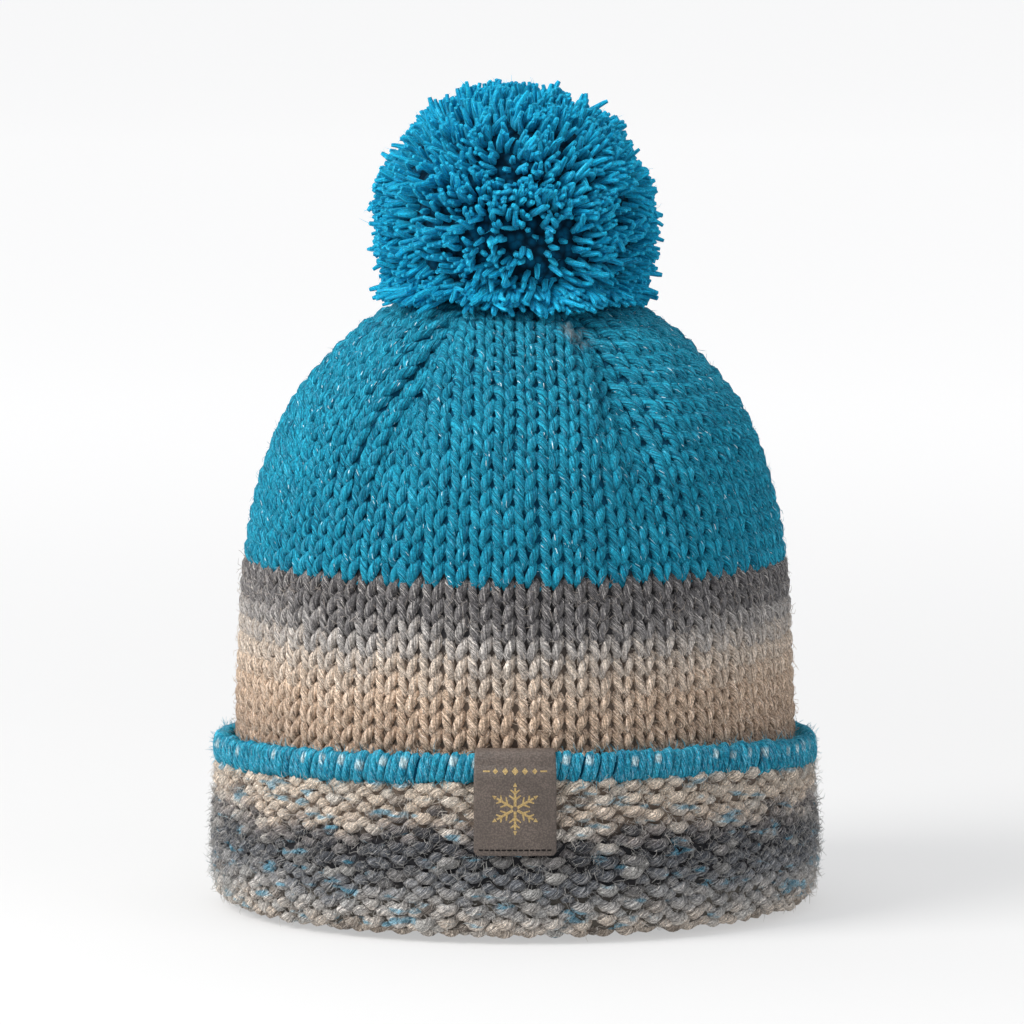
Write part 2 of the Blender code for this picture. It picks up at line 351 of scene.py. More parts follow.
def close(tree, wires, curves, place, girth, along):
    """Ends a recipe: the curves laid in place, yarn round them, all made real, the material set.

    The yarn keeps where it is along itself and around itself, for the twist in its material.
    """
    curves = curves.node("GeometryNodeSetPosition", {}, {"Geometry": curves, "Position": place})
    ring = circle(curves, wires["Sides"])
    ring = stored(ring, "around", ring.node("GeometryNodeInputPosition"), "FLOAT_VECTOR")
    curves = stored(curves, "along", along)
    parts = {"Curve": curves, "Profile Curve": ring, "Scale": girth, "Fill Caps": True}
    yarn = curves.node("GeometryNodeCurveToMesh", {}, parts)
    real = yarn.node("GeometryNodeRealizeInstances", {}, {"Geometry": yarn})
    parts = {"Geometry": real, "Material": wires["Material"]}
    dressed = real.node("GeometryNodeSetMaterial", {}, parts)
    leave = tree.nodes.new("NodeGroupOutput")
    tree.links.new(dressed.socket, leave.inputs["Geometry"])
    return tree


def loop_recipe():
    """Each point of the plan becomes one loop of yarn, bent onto its row and wale."""
    tree, wires = recipe("knitted_loops", ("Steps", "Sides"), (
        "Reach", "Sway", "Lean", "Depth", "Shingle", "Girth", "Head Girth", "Yarn Length",
    ))
    plan = wires["Plan"]
    curves, share = copies(plan, straight(plan, wires["Steps"]))
    turn = (share - 0.5) * math.tau
    across = (turn + wires["Sway"] * (turn * 2).sin()) * (1 / math.tau)
    across = across + turn.cos() * (wires["Lean"] + named(plan, "lean"))
    up = turn.cos() * wires["Reach"] * named(plan, "slack")
    out = (turn * 2).cos() * wires["Depth"] * -1 - turn.cos() * wires["Shingle"]
    angle = named(plan, "angle") + named(plan, "angle_rise") * up
    azimuth = named(plan, "gore") + (named(plan, "wale") + across) * angle
    radius = named(plan, "distance") + named(plan, "out_r") * out + named(plan, "up_r") * up
    height = named(plan, "height") + named(plan, "out_z") * out + named(plan, "up_z") * up
    place = plan.xyz(azimuth.sin() * radius, azimuth.cos() * radius * -1, height)
    leg = turn.sin() ** 2
    girth = (wires["Head Girth"] + (wires["Girth"] - wires["Head Girth"]) * leg) * named(plan, "fat")
    return close(tree, wires, curves, place, girth, share * wires["Yarn Length"])


def made_by(tree, name, plan, sizes, material):
    """The plain mesh that a recipe makes of a plan: a dict of columns, one row a piece."""
    count = len(next(iter(plan.values())))
    data = bpy.data.meshes.new(name + "_plan")
    data.vertices.add(count)
    for column, values in plan.items():
        values = np.asarray(values, dtype=np.float32)
        kind, field = ("FLOAT_VECTOR", "vector") if values.ndim == 2 else ("FLOAT", "value")
        data.attributes.new(column, kind, "POINT").data.foreach_set(field, values.ravel())
    holder = object_of(name + "_plan", data)
    modifier = holder.modifiers.new("recipe", "NODES")
    modifier.node_group = tree
    for socket in tree.interface.items_tree:
        if socket.in_out == "INPUT" and socket.name in sizes:
            modifier[socket.identifier] = sizes[socket.name]
        if socket.in_out == "INPUT" and socket.name == "Material":
            modifier[socket.identifier] = material
    depsgraph = bpy.context.evaluated_depsgraph_get()
    worked = holder.evaluated_get(depsgraph)
    mesh = bpy.data.meshes.new_from_object(worked, preserve_all_data_layers=True, depsgraph=depsgraph)
    mesh.name = name
    bpy.data.objects.remove(holder)
    mesh.shade_smooth()
    return object_of(name, mesh)


def fine_path(table, smoothed, count=600, window=25):
    """The table's columns at many even steps, the first ones rounded off at the table's corners."""
    at = np.linspace(0, len(table) - 1, count)
    columns = [np.interp(at, np.arange(len(table)), column) for column in np.asarray(table).T]
    for i in range(smoothed):
        padded = np.pad(columns[i], window // 2, mode="reflect", reflect_type="odd")
        columns[i] = np.convolve(padded, np.ones(window) / window, mode="valid")
    return columns


def moved_out(height, radius, distance):
    """A path moved square to itself, away from the toque's middle where distance is positive."""
    along_z, along_r = np.gradient(height), np.gradient(radius)
    scale = distance / np.hypot(along_z, along_r)
    return height - along_r * scale, radius + along_z * scale


def length_along(height, radius):
    """How far along a path each of its points is."""
    return np.concatenate([[0], np.cumsum(np.hypot(np.diff(height), np.diff(radius)))])


def crown_path():
    """Fine points up the middle of the crown's yarn: length from the first row, radius, height, crease."""
    height, radius, crease = fine_path(CROWN_SHAPE * (CROWN_TOP, BODY_RADIUS, 1.0), 2)
    height, radius = moved_out(height, radius, -KNIT_INSET)
    length = length_along(height, radius)
    return length - np.interp(FIRST_ROW_HEIGHT, height, length), radius, height, crease


def rows_along(length, radius, height, angle, crease, pitch):
    """Where each row of loops lies: its place, which way is up, a wale's angle and the crease."""
    up_r, up_z = np.gradient(radius, length), np.gradient(height, length)
    columns = (radius, height, up_r, up_z, angle, np.gradient(angle, length), crease)
    return [
        [np.interp(row * pitch, length, column) for column in columns]
        for row in range(int(length[-1] / pitch + 0.01) + 1)
    ]


def crown_rows():
    length, radius, height, crease = crown_path()
    past = np.clip(length - np.interp(NARROWING_STARTS, height, length), 0, None)
    share = past / past.max()
    full = math.tau / WALES
    start = np.interp(NARROWING_STARTS, height, radius) * full
    wale = np.where(share > 0, start + (NARROWEST_WALE - start) * share, radius * full)
    return rows_along(length, radius, height, wale / radius, crease, ROW_PITCH)


def crease_at(azimuth):
    """1 along a decrease line and 0 between two, weaker on the toque's sides."""
    return abs(math.sin(azimuth * GORES / 2)) ** CREASE_SHARPNESS * (0.35 + 0.65 * abs(math.cos(azimuth)))


# How uneven the loops are: their place along the row and its slow wander, their height, and
# their slack, thickness and slant as shares.
SHIFTED, WANDERING, RAISED = 0.035, 0.10, 0.00022
SLACKENED, FATTENED, SLANTED = 0.045, 0.060, 0.028
LOOP_COLUMNS = (
    "gore", "wale", "angle", "angle_rise", "distance", "height", "up_r", "up_z", "out_r", "out_z",
    "slack", "fat", "tone", "band", "lean",
)


def loop_plan(loops, seed):
    """The columns of the loop recipe. A loop is (row number, row values, gore's azimuth, wale)."""
    rng = np.random.default_rng(seed)
    plan = []
    for number, (radius, height, up_r, up_z, angle, angle_rise, crease), gore, wale in loops:
        azimuth = gore + wale * angle
        wander = noise.noise(Vector((7 * gore + 0.9 * wale, 0.22 * number, seed)))
        shift, raised, slack, fat, tone = rng.normal(0, 1.0, 5)
        plan.append((
            gore, wale + SHIFTED * shift + WANDERING * wander, angle, angle_rise,
            radius * (1 - crease * crease_at(azimuth)), height + RAISED * raised,
            up_r, up_z, up_z, -up_r, 1 + SLACKENED * slack, 1 + FATTENED * fat, tone,
            number + azimuth / math.tau, SLANTED * rng.normal(),
        ))
    return dict(zip(LOOP_COLUMNS, np.array(plan).T))


def crown_loops(rows, first, last):
    """The loops of these rows, gore by gore. Past the narrowing, the outer wales end at the line."""
    loops = []
    gore_angle = math.tau / GORES
    for number, values in enumerate(rows):
        if not first <= number < last:
            continue
        angle = values[4]
        half_wales = int((gore_angle / 2 + 0.30 * angle) / angle - 0.5)
        for gore in range(GORES):
            for i in range(-half_wales - 1, half_wales + 1):
                loops.append((number, values, gore * gore_angle, i + 0.5))
    return loops


def attribute(wire, name, output=2):
    return wire.node("ShaderNodeAttribute", {"attribute_name": name}, {}, output)


def grain(place, scale, detail, roughness=0.5):
    """A noise, fine or coarse by its scale in repeats a metre."""
    sizes = {"Vector": place, "Scale": scale, "Detail": detail, "Roughness": roughness}
    return place.node("ShaderNodeTexNoise", {}, sizes)


def embossed(shader, relief, strength=1.0, distance=1.0):
    sizes = {"Strength": strength, "Distance": distance, "Height": relief}
    feed(shader, "Normal", relief.node("ShaderNodeBump", {}, sizes))


def rgb(red, green, blue):
    """A colour from its 0 to 255 screen values."""
    linear = []
    for value in (red, green, blue):
        share = value / 255
        linear.append(share / 12.92 if share <= 0.04045 else ((share + 0.055) / 1.055) ** 2.4)
    return (*linear, 1.0)


def ramp(factor, stops):
    """A colour by the factor, through stops of a position and screen values for red, green, blue."""
    stops = [(position, rgb(*colour)) for position, *colour in stops]
    return factor.node("ShaderNodeValToRGB", {"stops": stops}, {"Fac": factor})


def yarn_look(name, colour_of, twist_pitch, plies, contrast, sheen, sheen_tint, pale=0.0, fleck=0.0):
    """Twisted yarn: plies and single fibres wind round it, some of them pale, with a soft bloom and painted
    shade between the plies.

    colour_of(start, fibre, tone) gives the base colour from the fibre streaks and the loop's tone.
    """
    made, shader, start = shader_of(name, 0.88, sheen, sheen_tint)
    around = attribute(start, "around", 1)
    along = attribute(start, "along")
    tone = attribute(start, "tone")
    angle = around.part("Y").sum("ARCTAN2", around.part("Y"), around.part("X"))
    phase = angle + along * (math.tau / twist_pitch)
    ply = (phase * (plies / 2)).sin().sum("ABSOLUTE", (phase * (plies / 2)).sin())

    def wound(cells, per_metre, detail, shift):
        place = start.xyz(phase.cos() * cells, phase.sin() * cells, along * per_metre + tone * shift)
        return grain(place, 1.0, detail, 0.7)

    fibre = wound(2.6, 110, 3.0, 7.3)
    fine = wound(6.5, 300, 2.0, 17.9)
    stray = grain(start, 1500.0, 2.0, 0.6)
    colour = colour_of(start, fibre, tone)
    if pale:
        colour = mixed(fine.between(0.56, 0.70) * pale, colour, rgb(226, 220, 212))
    # Painted shade: the colour is darkened in the grooves between the plies, and made darker and lighter
    # along the fine fibres and stray hairs.
    depth = ply.between(0.0, 0.50) * 0.34 + 0.70
    depth = depth * (fine.between(0.36, 0.64) * contrast + 1 - 0.5 * contrast)
    depth = depth * (stray.between(0.36, 0.64) * 0.7 * contrast + 1 - 0.35 * contrast)
    colour = mixed(1.0, colour, depth, "MULTIPLY")
    if fleck:
        spot = wound(3.4, 620, 0.0, 31.0)
        bright = spot.between(1 - fleck, 1.02 - fleck)
        colour = mixed(bright, colour, rgb(225, 240, 244))
        feed(shader, "Metallic", bright * 0.4)
        feed(shader, "Roughness", 0.86 - bright * 0.45)
    feed(shader, "Base Color", colour)
    relief = ply.between(0.0, 0.55) * 0.00020 + fibre * 0.00040 + fine * 0.00032 + stray * 0.00022
    embossed(shader, relief)
    return made


CAUGHT_FIBRES = (0.0215, -0.0450, 0.1970)


def teal(start, fibre, tone):
    """Teal plies, with some fibres of the lower yarn caught beside the pompom on the right."""
    shade = (fibre.between(0.3, 0.72) + tone * 0.07).clamped()
    blue = mixed(shade, rgb(2, 88, 116), rgb(36, 160, 190))
    caught = distance_to(start, CAUGHT_FIBRES) + (fibre - 0.5) * 0.008
    return mixed(caught.between(0.0085, 0.0040) * 0.75, blue, rgb(112, 112, 112))


FIRST_BLUE_ROW = 12
LOOP_SIZES = {
    "Steps": 13,
    "Sides": 5,
    "Reach": LOOP_REACH * ROW_PITCH,
    "Sway": LOOP_SWAY,
    "Lean": LOOP_LEAN,
    "Depth": LOOP_DEPTH,
    "Shingle": LOOP_SHINGLE,
    "Girth": YARN_GIRTH,
    "Head Girth": 0.86 * YARN_GIRTH,
    "Yarn Length": 0.021,
}
TEAL_BLOOM = (0.10, 0.62, 0.80)
WOOL_BLOOM = (1.0, 0.95, 0.90)
blue_yarn = yarn_look(
    "crown_blue_yarn", teal, twist_pitch=0.0095, plies=3, contrast=0.72,
    sheen=0.22, sheen_tint=TEAL_BLOOM, pale=0.08, fleck=0.192,
)
rows_up = crown_rows()
blue_loops = loop_plan(crown_loops(rows_up, FIRST_BLUE_ROW, len(rows_up)), seed=3)
crown_blue = made_by(loop_recipe(), "crown_blue_knit", blue_loops, LOOP_SIZES, blue_yarn)


def heather(start, fibre, tone):
    """Colour along the rows: beige, a pale grey change, dark grey."""
    # Painted light and shade on the sides: the bands sit higher towards the toque's sides, more so on the
    # left, which pales the grey there.
    side = start.part("X")
    wander = side.sum("ABSOLUTE", side) * 14.0 - side * 3.0
    band = attribute(start, "band") - wander + (fibre - 0.5) * 3.4 + tone * 0.16
    return ramp(band / FIRST_BLUE_ROW, (
        (0.00, 120, 102, 88),
        (0.14, 166, 142, 122),
        (0.38, 192, 168, 146),
        (0.54, 188, 174, 160),
        (0.66, 160, 156, 153),
        (0.75, 104, 102, 103),
        (1.00, 84, 82, 84),
    ))


heather_yarn = yarn_look(
    "crown_heather_yarn", heather, twist_pitch=0.0095, plies=3, contrast=1.0,
    sheen=0.15, sheen_tint=WOOL_BLOOM, pale=0.50,
)
heather_loops = loop_plan(crown_loops(rows_up, 0, FIRST_BLUE_ROW), seed=4)
crown_lower = made_by(loop_recipe(), "crown_heather_knit", heather_loops, LOOP_SIZES, heather_yarn)


def worn(piece, node):
    """The piece goes with the toque and stands for this node, which is hidden."""
    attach(piece, "root")
    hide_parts(node)


worn(crown_blue, "crown")
worn(crown_lower, "crown_band")


# Crown's inside: the same knit seen from behind, as a thin felted layer between the loops that
# closes the gaps between them. Its outer side is dark: painted shade for the depth of thick knit.
BACKING_OUT = 0.0006
BACKING_IN = -0.0020
BACKING_FOOT = (0.0065, 0.0200, 0.0330)
BACKING_COLUMNS = 84
BACKING_ROWS = 24


def round_at(azimuth, radius, height):
    return radius * math.sin(azimuth), -radius * math.cos(azimuth), height


def ring_mesh(name, columns, section, material):
    """A closed ring-shaped shell: section(azimuth) gives its outline there as radius and height."""
    points, faces = [], []
    for column in range(columns):
        azimuth = math.tau * column / columns
        points += [round_at(azimuth, r, z) for r, z in section(azimuth)]
    count = len(points) // columns
    for column in range(columns):
        near, far = column * count, (column + 1) % columns * count
        for i in range(count):
            j = (i + 1) % count
            faces.append((near + i, far + i, far + j, near + j))
    return mesh_object(name, points, faces, material)


def backing_look(name, stops, top):
    """Felted wool behind the loops, coloured by its height through the stops given, which are dark shades of
    the yarn as painted shade.
    """
    made, shader, start = shader_of(name, 0.95, 0.2, (1, 1, 1))
    wool = grain(start, 420.0, 4.0)
    share = (start.part("Z") + (wool - 0.5) * 0.006) / top
    feed(shader, "Base Color", ramp(share, stops))
    turn = start.sum("ARCTAN2", start.part("X"), start.part("Y"))
    rows = (start.part("Z") * (math.tau / ROW_PITCH)).sin() * (0.6 + 0.4 * (turn * WALES).sin())
    relief = wool * 0.0008 + rows * 0.0007
    embossed(shader, relief, 0.8)
    return made


def crown_backing():
    length, radius, height, crease = crown_path()
    keep = np.linspace(np.interp(0.0, length, np.arange(len(length))), len(length) - 1, BACKING_ROWS)
    rows = np.arange(len(length))
    sides = []
    for distance in (BACKING_OUT, BACKING_IN):
        z, r = moved_out(height, radius, distance)
        side = [(np.interp(at, rows, r), np.interp(at, rows, z), np.interp(at, rows, crease)) for at in keep]
        sides.append([(side[0][0], low, 0.0) for low in BACKING_FOOT] + side)
    outline = sides[0] + sides[1][::-1]

    def section(azimuth):
        dip = crease_at(azimuth)
        return [(r * (1 - dent * dip), z) for r, z, dent in outline]

    # Painted shade: darker shades of the beige, grey and teal yarn, by height.
    stops = (
        (0.00, 96, 84, 74),
        (0.42, 104, 92, 82),
        (0.48, 58, 57, 59),
        (0.575, 48, 48, 50),
        (0.585, 6, 68, 94),
        (1.00, 7, 76, 104),
    )
    return ring_mesh("crown_backing", BACKING_COLUMNS, section, backing_look("crown_shaded_felt", stops, CROWN_TOP))


worn(crown_backing(), "crown")

# Cuff: the end of the knit turned out and up, so the back of the fabric shows. There the heads
# and feet of the loops make rows of short bars. The yarn runs through beige, dark grey and cream.
CUFF_HEIGHT = 0.0500
CUFF_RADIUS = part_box("cuff")[1][0]
LABEL_LOW, LABEL_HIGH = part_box("label")
CUFF_ROWS = 12
BUMP_WIDTH = 0.0054
BUMP_GIRTH = 0.00180
BUMP_RISE = 0.0034
BUMP_SUNK = 0.0017
BUMP_LENGTH = 0.011
# Half the gap between heads and feet, how far an arch bends, both as shares of a row, and how
# much of its rise is left under the label.
BUMP_APART, BUMP_BEND, BUMP_PRESSED = 0.20, 0.24, 0.4
CUFF_BACKING_OUT = 0.0002
CUFF_BACKING_IN = -0.0016
# From the fold's inner side under the rest and up the outer side: height in metres and radius
# as a share of CUFF_RADIUS, both at the middle of the yarn.
CUFF_SHAPE = np.array([
    (0.0095, 0.886),
    (0.0060, 0.891),
    (0.0040, 0.905),
    (0.0036, 0.925),
    (0.0042, 0.945),
    (0.0068, 0.960),
    (0.0115, 0.969),
    (0.0185, 0.974),
    (0.0265, 0.972),
    (0.0345, 0.967),
    (0.0425, 0.962),
    (0.0500, 0.957),
])
# Azimuth in degrees and how much higher the upper edge was folded there.
CUFF_LIFT = np.array([
    (-180, -0.0008),
    (-100, -0.0029),
    (-50, 0.0008),
    (0, 0.0035),
    (45, 0.0028),
    (80, -0.0018),
    (110, -0.0029),
    (180, -0.0008),
])


def lift_at(azimuth, height=CUFF_HEIGHT):
    degrees = (math.degrees(azimuth) + 180) % 360 - 180
    return np.interp(degrees, *CUFF_LIFT.T) * max(height, 0) / CUFF_HEIGHT


def under_label(azimuth, height):
    """True where the label presses the knit flat."""
    in_front = (np.abs(CUFF_RADIUS * np.sin(azimuth)) < LABEL_HIGH[0] + 0.0012) & (np.cos(azimuth) > 0)
    return in_front & (height > LABEL_LOW[2] - 0.0008) & (height < LABEL_HIGH[2])


def cuff_path():
    height, radius = fine_path(CUFF_SHAPE * (1.0, CUFF_RADIUS), 2, window=31)
    length = length_along(height, radius)
    return length, radius, height


def cuff_colours(start, fibre, tone):
    """Bands of the space-dyed yarn from the fold up, with bits of teal carried along, and painted shade under
    the fold and between the bumps.
    """
    height = start.part("Z") * (1 / CUFF_HEIGHT)
    drift = grain(start, 38.0, 2.0)
    share = height + (fibre - 0.5) * 0.30 + (drift - 0.5) * 0.30 + tone * 0.050
    wool = ramp(share, (
        # Painted shade: the lowest stop is darker, for the underside of the fold.
        (0.00, 140, 128, 116),
        (0.08, 186, 174, 162),
        (0.20, 170, 166, 162),
        (0.35, 104, 107, 112),
        (0.58, 56, 59, 65),
        (0.71, 124, 118, 116),
        (0.80, 186, 170, 154),
        (1.00, 196, 182, 166),
    ))
    stretched = start.vector("MULTIPLY", start, (80.0, 80.0, 260.0))
    bits = grain(stretched, 1.0, 2.0)
    bits = bits + (height.between(0.84, 1.0) + height.between(0.45, 0.22) * height.between(0.05, 0.2)) * 0.035
    # Painted shade and highlight: each bump is darker where it sinks in at its ends and paler at its top,
    # less so near the cuff's upper edge.
    painted_bump_shade = (attribute(start, "along") * (math.pi / BUMP_LENGTH)).sin() * 0.72 + 0.50
    share = height.between(0.95, 0.72) * 0.5 + 0.5
    wool = mixed(share, wool, painted_bump_shade, "MULTIPLY")
    wool = mixed(tone.between(0.5, 1.9) * 0.65, wool, rgb(178, 176, 172))
    wool = mixed(tone.between(-0.7, -2.0) * 0.65, wool, rgb(42, 43, 47))
    return mixed(bits.between(0.60, 0.70) * 0.70, wool, rgb(62, 144, 172))


def strand_recipe():
    """Each point of the plan becomes one bent strand, from its root over its middle to its tip."""
    tree, wires = recipe("bent_strands", ("Steps", "Sides"), ("Tip Share", "Crowding", "Yarn Length"))
    plan = wires["Plan"]
    curves, even = copies(plan, straight(plan, wires["Steps"]))
    share = 1 - (1 - even) ** wires["Crowding"]
    rest = 1 - share
    place = named(plan, "root", "FLOAT_VECTOR").scaled(rest * rest)
    place = place.vector("ADD", place, named(plan, "middle", "FLOAT_VECTOR").scaled(rest * share * 2))
    place = place.vector("ADD", place, named(plan, "tip", "FLOAT_VECTOR").scaled(share * share))
    girth = named(plan, "girth") * (1 - (1 - wires["Tip Share"]) * even ** 7)
    return close(tree, wires, curves, place, girth, share * wires["Yarn Length"])


def strand_plan(strands):
    """The columns of the strand recipe. A strand is (root, middle, tip, girth, tone)."""
    return dict(zip(("root", "middle", "tip", "girth", "tone"), zip(*strands)))


def cuff_bumps(seed):
    """In each row an arch for every loop's head and, half a wale along, a hanging arch for the
    foot between two loops."""
    rng = np.random.default_rng(seed)
    length, radius, height = cuff_path()
    up_r, up_z = np.gradient(radius, length), np.gradient(height, length)
    pitch = length[-1] / CUFF_ROWS
    strands = []
    for row in range(CUFF_ROWS):
        for bump in range(2 * WALES):
            turned = 1 if bump % 2 else -1
            tight = 0.5 + noise.noise(Vector((bump * 0.06, row * 0.13, 9.0)))
            full = 1.04 + turned * (0.24 - 0.12 * tight) + rng.normal(0, 0.09)
            at = (row + 0.5 + BUMP_APART * turned) * pitch + rng.normal(0, 0.00050)
            azimuth = bump * math.pi / WALES + rng.normal(0, 0.0035)
            azimuth += 0.020 * noise.noise(Vector((bump * 0.37, row * 0.21, 4.0)))
            r, z, ur, uz = (np.interp(at, length, values) for values in (radius, height, up_r, up_z))
            z += lift_at(azimuth, z)
            half, drop = BUMP_WIDTH / 2 * full / r, turned * BUMP_BEND * pitch
            rise = BUMP_RISE * full * (BUMP_PRESSED if under_label(azimuth, z) else 1.0)
            arch = []
            for side, up, out in (
                (-half, drop, -BUMP_SUNK),
                (rng.normal(0, 0.008), -drop, rise - 0.0007 * turned * tight),
                (half, drop, -BUMP_SUNK),
            ):
                level = max(z + uz * up - ur * out, BUMP_GIRTH * 0.6)
                arch.append(round_at(azimuth + side, r + ur * up + uz * out, level))
            strands.append((*arch, BUMP_GIRTH * (0.5 + 0.5 * full), rng.normal(0, 1.0)))
    return strand_plan(strands)


cuff_yarn = yarn_look(
    "cuff_yarn", cuff_colours, twist_pitch=0.0085, plies=3, contrast=1.0,
    sheen=0.15, sheen_tint=WOOL_BLOOM, pale=0.50,
)
bump_sizes = {"Steps": 7, "Sides": 5, "Tip Share": 0.85, "Crowding": 1.0, "Yarn Length": BUMP_LENGTH}
cuff_knit = made_by(strand_recipe(), "cuff_knit", cuff_bumps(seed=5), bump_sizes, cuff_yarn)
worn(cuff_knit, "cuff")


def cuff_backing():
    length, radius, height = cuff_path()
    keep = np.linspace(0, len(length) - 1, 24)
    rows = np.arange(len(length))
    outline = []
    for distance, order in ((CUFF_BACKING_OUT, 1), (CUFF_BACKING_IN, -1)):
        z, r = moved_out(height, radius, distance)
        outline += [(np.interp(at, rows, r), np.interp(at, rows, z)) for at in keep][::order]

    def section(azimuth):
        return [(r, z + lift_at(azimuth, z)) for r, z in outline]

    # Painted shade: darker shades of the cuff's bands, for the depth between the bumps.
    stops = (
        (0.00, 70, 64, 58),
        (0.25, 92, 88, 82),
        (0.40, 44, 44, 47),
        (0.66, 40, 40, 43),
        (0.80, 110, 98, 88),
    )
    return ring_mesh("cuff_backing", BACKING_COLUMNS, section, backing_look("cuff_shaded_felt", stops, CUFF_HEIGHT))


worn(cuff_backing(), "cuff")

# Edging: bright blue yarn worked over the cuff's upper edge, turn beside turn, over a core of
# the same yarn, coloured darker as painted shade. Every few turns a pale thread in the ply comes to the top.
EDGING_HEIGHT = 0.0098
EDGING_DEPTH = 0.0050
EDGING_RADIUS = 0.0977
EDGING_MIDDLE = 0.0545
EDGING_SQUARENESS = 0.75
WRAPS = 236
WRAP_GIRTH = 0.00146
WRAP_SLANT = 0.0011
WRAP_LENGTH = 0.024


def wrap_recipe():
    """Each point of the plan becomes one closed turn of yarn round the edge."""
    tree, wires = recipe("wrapped_edge", ("Steps", "Sides"), (
        "Half Depth", "Half Height", "Squareness", "Slant", "Girth",
    ))
    plan = wires["Plan"]
    curves, share = copies(plan, circle(plan, wires["Steps"]))
    turn = share * math.tau + math.pi

    def squared(value):
        """Keeps the sign and fills out the oval's corners."""
        return value.sum("SIGN", value) * (value.sum("ABSOLUTE", value) ** wires["Squareness"])

    out = squared(turn.cos()) * wires["Half Depth"] * named(plan, "fat")
    up = squared(turn.sin()) * wires["Half Height"] * named(plan, "fat")
    slant = named(plan, "slant") + wires["Slant"] * turn.sin()
    radius = named(plan, "distance") + out
    azimuth = named(plan, "azimuth") + slant / named(plan, "distance")
    place = plan.xyz(azimuth.sin() * radius, azimuth.cos() * radius * -1, named(plan, "height") + up)
    return close(tree, wires, curves, place, wires["Girth"] * named(plan, "fat"), share * WRAP_LENGTH)


def wrap_plan(seed):
    rng = np.random.default_rng(seed)
    azimuth = np.arange(WRAPS) * math.tau / WRAPS
    fleck = rng.random(WRAPS)
    return {
        "azimuth": azimuth + rng.normal(0, 0.0032, WRAPS),
        "distance": EDGING_RADIUS + rng.normal(0, 0.00024, WRAPS),
        "height": EDGING_MIDDLE + np.array([lift_at(a) for a in azimuth]) + rng.normal(0, 0.00022, WRAPS),
        "fat": 1 + rng.normal(0, 0.070, WRAPS),
        "slant": rng.normal(0, 0.0003, WRAPS),
        "tone": rng.normal(0, 1, WRAPS),
        "pale": (np.arange(WRAPS) % 3 == 0) * (fleck > 0.3) * rng.uniform(0.0130, 0.0152, WRAPS),
    }


def edging_blue(start, fibre, tone):
    shade = (fibre.between(0.3, 0.72) + tone * 0.06).clamped()
    blue = mixed(shade, rgb(10, 104, 136), rgb(52, 168, 196))
    centre = attribute(start, "pale")
    off = attribute(start, "along") - centre
    thread = off.sum("ABSOLUTE", off).between(0.0024, 0.0004) * centre.between(0.0, 0.001)
    return mixed((thread * 1.5 * fibre.between(0.38, 0.58)).clamped() * 0.85, blue, rgb(196, 214, 216))


edging_yarn = yarn_look(
    "edging_wool", edging_blue, twist_pitch=0.0160, plies=2, contrast=0.80,
    sheen=0.35, sheen_tint=TEAL_BLOOM, pale=0.30,
)
wrap_sizes = {
    "Steps": 16,
    "Sides": 6,
    "Half Depth": EDGING_DEPTH / 2 - 0.75 * WRAP_GIRTH,
    "Half Height": EDGING_HEIGHT / 2 - 0.75 * WRAP_GIRTH,
    "Squareness": EDGING_SQUARENESS,
    "Slant": WRAP_SLANT,
    "Girth": WRAP_GIRTH,
}
edging = made_by(wrap_recipe(), "edging_wraps", wrap_plan(seed=8), wrap_sizes, edging_yarn)
worn(edging, "cuff_edging")


def edging_core(azimuth):
    turns = [math.tau * i / 12 for i in range(12)]
    middle = EDGING_MIDDLE + lift_at(azimuth)
    half_depth, half_height = EDGING_DEPTH / 2 - WRAP_GIRTH, EDGING_HEIGHT / 2 - WRAP_GIRTH
    return [(EDGING_RADIUS - math.cos(t) * half_depth, middle + math.sin(t) * half_height) for t in turns]


# Painted shade: the core is a darker blue than the wraps, for the shade in the gaps between them.
core_stops = ((0.0, 2, 60, 86), (1.0, 4, 70, 98))
core = ring_mesh("edging_core", 72, edging_core, backing_look("edging_shaded_felt", core_stops, CUFF_HEIGHT))
worn(core, "cuff_edging")

# Label: one strip of grained leather folded over the edging and stitched through near its lower
# end. A six-armed snowflake and a row of diamonds are pressed on its front in gold foil.
LABEL_WIDTH = 0.0262
LABEL_LENGTH = 0.0345
LABEL_BACK = 0.0070
LABEL_THICKNESS = 0.0011
LABEL_GAP = 0.0003
LABEL_CORNER = 0.0011
LABEL_COLUMNS = 28
LABEL_WORN_EDGE = 0.00028
label_raise = EDGING_MIDDLE + lift_at(0.0)


def label_profile():
    """The strip's inner side as radius and height, from its front end over the edging and down."""
    top = label_raise + EDGING_HEIGHT / 2 + LABEL_GAP
    low = top + LABEL_THICKNESS - LABEL_LENGTH
    front = EDGING_RADIUS + EDGING_DEPTH / 2 + LABEL_GAP
    points = [(max(front, CUFF_RADIUS + LABEL_GAP), low + (label_raise - low) * i / 24) for i in range(24)]
    for step in range(25):
        turn = math.pi * step / 24
        x = math.copysign(abs(math.cos(turn)) ** EDGING_SQUARENESS, math.cos(turn))
        y = abs(math.sin(turn)) ** EDGING_SQUARENESS
        half_depth, half_height = EDGING_DEPTH / 2 + LABEL_GAP, EDGING_HEIGHT / 2 + LABEL_GAP
        points.append((EDGING_RADIUS + x * half_depth, label_raise + y * half_height))
    inner = EDGING_RADIUS - EDGING_DEPTH / 2 - LABEL_GAP
    points += [(inner, label_raise - LABEL_BACK * i / 6) for i in range(1, 7)]
    radius, height = np.array(points).T
    window = np.ones(3) / 3
    radius[1:-1] = np.convolve(radius, window, mode="valid")
    return height, radius


